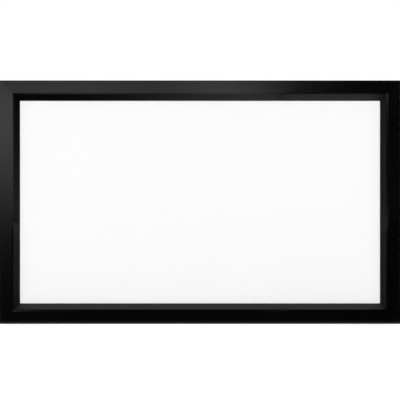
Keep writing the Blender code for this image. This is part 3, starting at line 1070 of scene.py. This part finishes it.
def screwShape(length):
    # A button-head screw with a hexagon socket. Its head's underside is at back 0.
    shape = bmesh.new()
    shank, point, head, height = screw["shank"], screw["point"], screw["head"], screw["height"]
    profile = [
        (0.0, -length), (shank - point, -length), (shank, -length + point), (shank, 0.0),  # shank
        (head - 0.0003, 0.0), (head, 0.0002), (head, 0.0005), (head - 0.00015, 0.0008),  # rim
        (head * 0.92, 0.0013), (head * 0.83, 0.0019), (head * 0.72, 0.0024),  # dome
        (head * 0.60, 0.0028), (head * screw["crown"], height),
    ]
    turnedSolid(shape, profile, screw["sides"])
    wider, deep = screw["mouth"]
    hexagon = ringPoints((0.0, 0.0), screw["socket"] / math.sqrt(3), 6)
    mouth = [(x * wider, z * wider) for x, z in hexagon]
    floor = height - screw["socketDepth"]
    crownRow, mouthRow, rimRow, floorRow = (
        [shape.verts.new((x, back, z)) for x, z in loop]
        for loop, back in (
            (ringPoints((0.0, 0.0), head * screw["crown"], screw["sides"]), height),
            (mouth, height),
            (hexagon, height - deep),
            (hexagon, floor),
        )
    )
    fillRows(shape, [crownRow, mouthRow])
    joinRows(shape, mouthRow, rimRow)
    joinRows(shape, rimRow, floorRow)
    drilled = shape.verts.new((0.0, floor - screw["drillTip"], 0.0))
    for i in range(6):
        shape.faces.new((floorRow[i - 1], floorRow[i], drilled))
    return shape


def placedScrews(name, spots, back, length, seed):
    # Each spot has one short line, on which the row tree sets a single copy, turned as it stopped.
    mesh = meshOf(name, screwShape(length), sharp=34)
    lines = [((x, back, z), (x + 1e-5, back, z)) for x, z in spots]
    piece = repeated(name, lines, mesh, 1.0, screwZinc, turn=math.pi, size=0.0, seed=seed)
    return cleaned(piece, sharp=34)


screwBack = corner["back"] + screw["gap"]
screws = placedScrews("cornerScrews", cornerScrews, screwBack, corner["screwLength"], 5)
handIn(screws, "zinc_steel", *screwNodes)

bar = {
    "width": 0.030,
    "front": 0.0095,
    "back": 0.0215,
    "wall": 0.0015,
    "radius": 0.0020,
    "half": 0.570,
    "screwHeight": 0.554,
    "screwLength": 0.0179,
    "edge": 0.0002,
    "leastRadius": 0.0004,  # of the tube's inner corners
    "holeFlare": 0.0005,
    "capFlange": 0.0015,
    "capRim": ((0.0006, 0.0), (0.0002, 0.00025), (0.0, 0.0008)),  # (short of its end, inwards)
    "capPlug": 0.010,
    "capLead": 0.0008,
    "capOverlap": 0.0005,  # of the plug and the flange, which are one piece
    "gap": 0.0003,
    "nut": (0.024, 0.0394),
    "nutCorner": 0.001,
}


def rectangle(halfX, halfY, radius, steps, middleY=0.0):
    corners = ((-1, -1), (1, -1), (1, 1), (-1, 1))
    return softened([(x * halfX, middleY + y * halfY, radius) for x, y in corners], steps)


nutSpots = [(0.0, bar["screwHeight"]), (0.0, -bar["screwHeight"])]
for end, spot in zip(("top", "bottom"), nutSpots):
    halfX, halfZ = bar["nut"][0] / 2, bar["nut"][1] / 2
    outline = rectangle(halfX, halfZ, bar["nutCorner"], 3, spot[1])
    hole = ringPoints(spot, corner["holeRadius"], corner["holeSides"])
    piece = ringPiece(end + "ChannelNut", [outline, hole], plateRings, zinc)
    handIn(piece, "zinc_steel", "channel_nut_" + end)
print("corners bolted,", len(cornerScrews), "screws")


# Support bar, its end caps and its screws

def barOutline(shrink):
    halfX = bar["width"] / 2 - shrink
    halfY = (bar["back"] - bar["front"]) / 2 - shrink
    return rectangle(halfX, halfY, max(bar["leastRadius"], bar["radius"] - shrink), 5)


def alongBar(x, y, depth):
    return x, (bar["front"] + bar["back"]) / 2 + y, depth


supportBar = ringPiece(
    "supportBar",
    [barOutline(0.0), barOutline(bar["wall"])],
    roundedRings(-bar["half"], bar["half"], bar["edge"], 1),
    bareTube,
    alongBar,
)
drill = bmesh.new()
for spot in nutSpots:
    # Through both walls, and wider outside them, which eases the holes' edges
    near, far = bar["front"] + bar["edge"], bar["back"] - bar["edge"]
    start, end = 0.0, 0.0300  # well clear of the tube
    radius, wider = corner["holeRadius"], corner["holeRadius"] + bar["holeFlare"]
    profile = [(0.0, start), (wider, start), (radius, near), (radius, far), (wider, end), (0.0, end)]
    turnedSolid(drill, profile, corner["holeSides"], spot)
handIn(cutBy(supportBar, drill), "bare_aluminium", "support_bar")

for end, sign in (("top", 1), ("bottom", -1)):
    flange, plug, lead = bar["half"] + bar["gap"], bar["half"] - bar["capPlug"], bar["capLead"]
    face = flange + bar["capFlange"]
    flangeRings = [(flange, 0.0), *((face - short, inwards) for short, inwards in bar["capRim"])]
    plugRings = [(plug, lead), (plug + lead, 0.0), (flange + bar["capOverlap"], 0.0)]
    shape = bmesh.new()
    for outline, rings in (
        (barOutline(0.0), flangeRings),
        (barOutline(bar["wall"] + bar["gap"]), plugRings),
    ):
        ringSolid(shape, [outline], [(sign * depth, inset) for depth, inset in rings], alongBar)
    name = end + "BarCap"
    piece = newObject(name, meshOf(name, shape), capNylon)
    handIn(piece, "black_plastic", "support_bar_cap_" + end)

screws = placedScrews("barScrews", nutSpots, bar["back"] + screw["gap"], bar["screwLength"], 9)
handIn(screws, "zinc_steel", "support_bar_screw_top", "support_bar_screw_bottom")
print("support bar fitted")


# Wall brackets

hanger = {
    "spacing": 0.900,
    "width": 0.110,
    "thickness": 0.0025,
    "bend": 0.0015,
    "cutEdge": 0.0006,
    "edge": 0.0004,
    "slot": (0.022, 0.007),
    "slotSpacing": 0.062,
    "slotHeight": 0.5607,
    "slotChamfer": 0.0003,
    # The folds, as (y, z) of the sheet's near side
    "path": [(0.0039, 0.5959), (0.0039, 0.5867), (0.0263, 0.5867), (0.0263, 0.5347)],
}


def foldedSection(path, thickness, inner, cutEdge, steps=8):
    # A strip of sheet metal folded square along a path, on the path's left side.
    ways = [(Vector(b) - Vector(a)).normalized() for a, b in zip(path, path[1:])]
    lefts = [Vector((-way.y, way.x)) * thickness for way in ways]
    near, far = [(*path[0], cutEdge)], [(*(Vector(path[0]) + lefts[0]), cutEdge)]
    for i in range(1, len(ways)):
        leftTurn = ways[i - 1].cross(ways[i]) > 0
        apex = Vector(path[i])
        near.append((*apex, inner + (thickness if leftTurn else 0.0)))
        far.append((*(apex + lefts[i - 1] + lefts[i]), inner + (0.0 if leftTurn else thickness)))
    near.append((*path[-1], cutEdge))
    far.append((*(Vector(path[-1]) + lefts[-1]), cutEdge))
    return softened(near + far[::-1], steps)


def acrossWall(y, z, depth):
    return depth, y, z


for name, sign in (("left", -1), ("right", 1)):
    middle, half = sign * hanger["spacing"] / 2, hanger["width"] / 2
    outline = foldedSection(
        hanger["path"], hanger["thickness"], hanger["bend"], hanger["cutEdge"]
    )
    bracket = ringPiece(
        name + "WallBracket",
        [outline],
        roundedRings(middle - half, middle + half, hanger["edge"]),
        hangerPowder,
        acrossWall,
    )
    # The slots' cutter tapers at both ends, which chamfers the edges of the sheet metal
    slots = bmesh.new()
    length, width = hanger["slot"]
    near = hanger["path"][-1][0] + hanger["slotChamfer"]
    far = hanger["path"][-1][0] + hanger["thickness"] - hanger["slotChamfer"]
    taper = 0.0016
    rings = [(near - taper, -taper), (near, 0.0), (far, 0.0), (far + taper, -taper)]
    for side in (-1, 1):
        x = middle + side * hanger["slotSpacing"] / 2
        end = (length - width) / 2
        right = arcPoints((x + end, hanger["slotHeight"]), width / 2, -90, 90, 12)
        left = arcPoints((x - end, hanger["slotHeight"]), width / 2, 90, 270, 12)
        ringSolid(slots, [right + left], rings)
    handIn(cutBy(bracket, slots), "black_powder_coat", "wall_bracket_" + name)
print("wall brackets folded")


# Bumpers

foot = {
    "spacing": 1.500,
    "height": -0.554,
    "barb": (0.0039, 0.0069, 0.0157),  # front, back and radius
    "neck": 0.0117,
    "seat": 0.0095,
    "radius": 0.017,
    "tip": 0.013,
    "straight": 0.003,  # of its side, before it tapers
    "wall": 0.0288,
    "grooves": 3,
    "soft": 0.0003,
    "sides": 64,
}


def footProfile():
    barbFront, barbBack, barb = foot["barb"]
    radius, neck, seat, soft = foot["radius"], foot["neck"], foot["seat"], foot["soft"]
    base, end = seat + foot["straight"], foot["wall"]

    def skin(back):
        return radius + (foot["tip"] - radius) * (back - base) / (end - base)

    profile = [
        # The barb that snaps into the channel
        (0.0, barbFront),
        (barb - 0.0019, barbFront),
        (barb - 0.0012, barbFront + 0.0004),
        (barb - 0.0001, barbBack - 0.0007),
        (barb, barbBack - 0.0002),
        (barb - soft, barbBack),
        # The neck between the channel's lips, and the seat behind them
        (neck + soft, barbBack),
        (neck, barbBack + soft),
        (neck, seat - soft),
        (neck + soft, seat),
        (radius - 0.0004, seat),
        (radius, seat + 0.0004),
        (radius, base),
    ]
    groove = [(-0.0013, 0.0), (-0.0008, 0.0004), (0.0, 0.0007), (0.0008, 0.0004), (0.0013, 0.0)]
    for number in range(foot["grooves"]):
        middle = base + (end - base) * (number + 0.7) / (foot["grooves"] + 0.6)
        profile += [(skin(middle + step) - dip, middle + step) for step, dip in groove]
    # The edge of the face on the wall, and a shallow dish in it
    return profile + [
        (skin(end - 0.0007), end - 0.0007),
        (skin(end) - 0.0002, end - 0.0002),
        (skin(end) - 0.0007, end),
        (0.0050, end),
        (0.0046, end - 0.0003),
        (0.0042, end - 0.0012),
        (0.0, end - 0.0012),
    ]


for name, sign in (("left", -1), ("right", 1)):
    shape = bmesh.new()
    turnedSolid(shape, footProfile(), foot["sides"], (sign * foot["spacing"] / 2, foot["height"]))
    piece = newObject(name + "Bumper", meshOf(name + "Bumper", shape, sharp=40), footRubber)
    handIn(piece, "black_rubber", "bumper_" + name)
print("bumpers pushed in")


# Stage: floor, studio cards, lamps, world and camera

stage = {
    "floor": -0.598,
    "floorHalf": 60.0,
    "floorShade": 0.92,
    "floorLift": 0.42,  # what the floor glows by, seen directly
    "floorBounce": 0.16,  # and for the light that it throws on the screen
    "sky": 1.0,
    "skyBounce": 0.62,
    "lens": 300.0,
    "aimHeight": 0.0106,
    "distance": 16.37,  # from the lens to the frame's front face
}


def glowing(name, facing, behind):
    # A card's light on each of its two sides, from expressions on its Object coordinates.
    paint = bpy.data.materials.new(name)
    paint.use_nodes = True
    board = Board(paint.node_tree)
    here = board.node("ShaderNodeTexCoord", None, None, "Object")
    place = [board.node("ShaderNodeSeparateXYZ", None, {0: here}, axis) for axis in range(3)]
    back = board.node("ShaderNodeNewGeometry", None, None, "Backfacing")
    strength = facing(board, *place) * (1 - back) + behind(board, *place) * back
    light = board.node("ShaderNodeEmission", None, {"Strength": strength})
    board.node("ShaderNodeOutputMaterial", None, {"Surface": light})
    return paint


def unlit(board, x, y, z):
    return x * 0


def card(name, axis, at, first, second, facing=unlit, behind=unlit):
    # A flat studio card across one axis, given by its ranges along the two others. Only
    # reflections see it. It faces the higher end of its axis.
    points = []
    for u, v in ((0, 0), (1, 0), (1, 1), (0, 1)):
        point = [first[u], second[v]]
        point.insert(axis, at)
        points.append(tuple(point))
    mesh = bpy.data.meshes.new(name)
    mesh.from_pydata(points if axis != 1 else points[::-1], [], [(0, 1, 2, 3)])
    made = newObject(name, mesh, glowing(name, facing, behind))
    for ray in ("camera", "diffuse", "transmission", "shadow"):
        setattr(made, "visible_" + ray, False)


wide, deep, tall = (-4.5, 4.5), (-3.0, -0.08), (-0.594, 3.2)
# Black flags at the sides, above and below, so that the front mirrors only what is set for it
card("leftFlag", 0, wide[0], deep, tall)
card("rightFlag", 0, wide[1], deep, tall)
card("topFlag", 2, tall[1], wide, deep)
card("floorFlag", 2, tall[0], wide, deep)


def glowAcross(board, x):
    # Bright at the left with a soft dip and a peak, and black at the right.
    fall = (1 - board.limited(x, 0.10, 0.80)) ** 1.9
    dip = board.limited(x, -0.52, -0.28) * (1 - board.limited(x, -0.20, 0.02))
    peak = board.limited(x, -0.08, 0.08) * (1 - board.limited(x, 0.20, 0.48))
    return fall - dip * 0.58 + peak * 0.52


def glowDown(board, z):
    # Brightest a little above the middle, and black below.
    return board.limited(z, -0.35, 0.50) ** 1.8 * (1 - 0.38 * board.limited(z, 0.56, 0.69)) * 1.50


def frontGlow(board, x, y, z):
    # Dimmer where the upper left corner mirrors it
    upperLeft = (1 - board.limited(x, -1.15, -0.70)) * board.limited(z, 0.61, 0.70)
    return glowAcross(board, x) * glowDown(board, z) * (1 - upperLeft * 0.42)


def onwards(board, y, near, far, start, end):
    # A card's light from its end at the sheet to its end at the front card.
    share = board.limited(y * -1, start, end)
    return near * (1 - share) + far * share


def aboveLevel(board, x, y, z):
    bevel = board.limited(x, -0.75, 0.36) ** 1.3 * 0.60
    return onwards(board, y, bevel, glowAcross(board, x) * 0.85, 0.15, 2.2)


def belowLevel(board, x, y, z):
    return onwards(board, y, 0.78, 0.0, 0.20, 0.34)


def rightOfUpright(board, x, y, z):
    return onwards(board, y, 0.20, 0.0, 0.26, 0.44)


def leftOfUpright(board, x, y, z):
    bevel = (1 - board.limited(z, -0.08, 0.50)) * 0.20 + 0.01
    far = glowDown(board, z) * (1 - board.limited(z, 0.42, 0.56) * 0.70)
    return onwards(board, y, bevel, far, 0.35, 2.9)


card("frontCard", 1, deep[0], wide, tall, frontGlow)
# Two crossed cards before the opening. Each side lights the bevel across from it. The sides that
# the right and lower rails see are dark further out, which keeps the front card off their
# shoulders.
card("levelCard", 2, -0.10, (-0.915, 0.915), (-2.98, -0.05), aboveLevel, belowLevel)
card("uprightCard", 0, 0.42, (-2.98, -0.05), (-0.53, 0.54), rightOfUpright, leftOfUpright)


def seenOrBounced(board, seen, bounced):
    # One shader for the camera, reflections and glass, and another for the light that it throws.
    camera, glossy, clear = (
        board.node("ShaderNodeLightPath", None, None, f"Is {ray} Ray")
        for ray in ("Camera", "Glossy", "Transmission")
    )
    direct = board.maths("MINIMUM", camera + glossy + clear, 1.0)
    return board.node("ShaderNodeMixShader", None, {0: direct, 1: bounced, 2: seen})


floorPaint = bpy.data.materials.new("paleFloor")
floorPaint.use_nodes = True
board = Board(floorPaint.node_tree)
matt = board.node("ShaderNodeBsdfDiffuse", None, {"Color": (*[stage["floorShade"]] * 3, 1.0)})
lit, bounce = (
    board.node(
        "ShaderNodeAddShader",
        None,
        {0: matt, 1: board.node("ShaderNodeEmission", None, {"Strength": stage[glow]})},
    )
    for glow in ("floorLift", "floorBounce")
)
board.node("ShaderNodeOutputMaterial", None, {"Surface": seenOrBounced(board, lit, bounce)})
floorMesh = bpy.data.meshes.new("floor")
half = stage["floorHalf"]
floorCorners = [(x * half, y * half, stage["floor"]) for x, y in ((-1, -1), (1, -1), (1, 1), (-1, 1))]
floorMesh.from_pydata(floorCorners, [], [(0, 1, 2, 3)])
newObject("floor", floorMesh, floorPaint)

world = bpy.data.worlds.new("studio")
bpy.context.scene.world = world
world.use_nodes = True
board = Board(world.node_tree)
seen, bounced = (
    board.node("ShaderNodeBackground", None, {"Color": (1, 1, 1, 1), "Strength": stage[sky]})
    for sky in ("sky", "skyBounce")
)
board.node("ShaderNodeOutputWorld", None, {"Surface": seenOrBounced(board, seen, bounced)})


def areaLamp(name, place, size, power, mirrored=True):
    # A square lamp that faces the middle of the screen.
    lamp = bpy.data.lights.new(name, "AREA")
    lamp.size = size
    lamp.energy = power
    made = newObject(name, lamp)
    made.location = place
    made.rotation_euler = (-Vector(place)).to_track_quat("-Z", "Y").to_euler()
    made.visible_camera = False
    made.visible_glossy = mirrored


# The cards, not the lamps, make the reflections on the frame's front
areaLamp("keyLamp", (-3.6, -5.0, 0.4), 2.4, 87, False)
areaLamp("fillLamp", (4.2, -4.6, 0.1), 2.4, 87, False)
areaLamp("rearLamp", (-2.6, 4.2, 3.2), 2.0, 60)
areaLamp("rearFillLamp", (3.4, 3.6, 1.6), 2.4, 40)

cameraData = bpy.data.cameras.new("camera")
cameraData.lens = stage["lens"]
cameraData.sensor_width = 36.0
cameraData.clip_end = 100.0
camera = newObject("camera", cameraData)
camera.location = (0.0, frontFace - stage["distance"], stage["aimHeight"])
camera.rotation_euler = (math.radians(90), 0.0, 0.0)
bpy.context.scene.camera = camera
bpy.context.scene.view_settings.view_transform = "Standard"
print("stage lit")
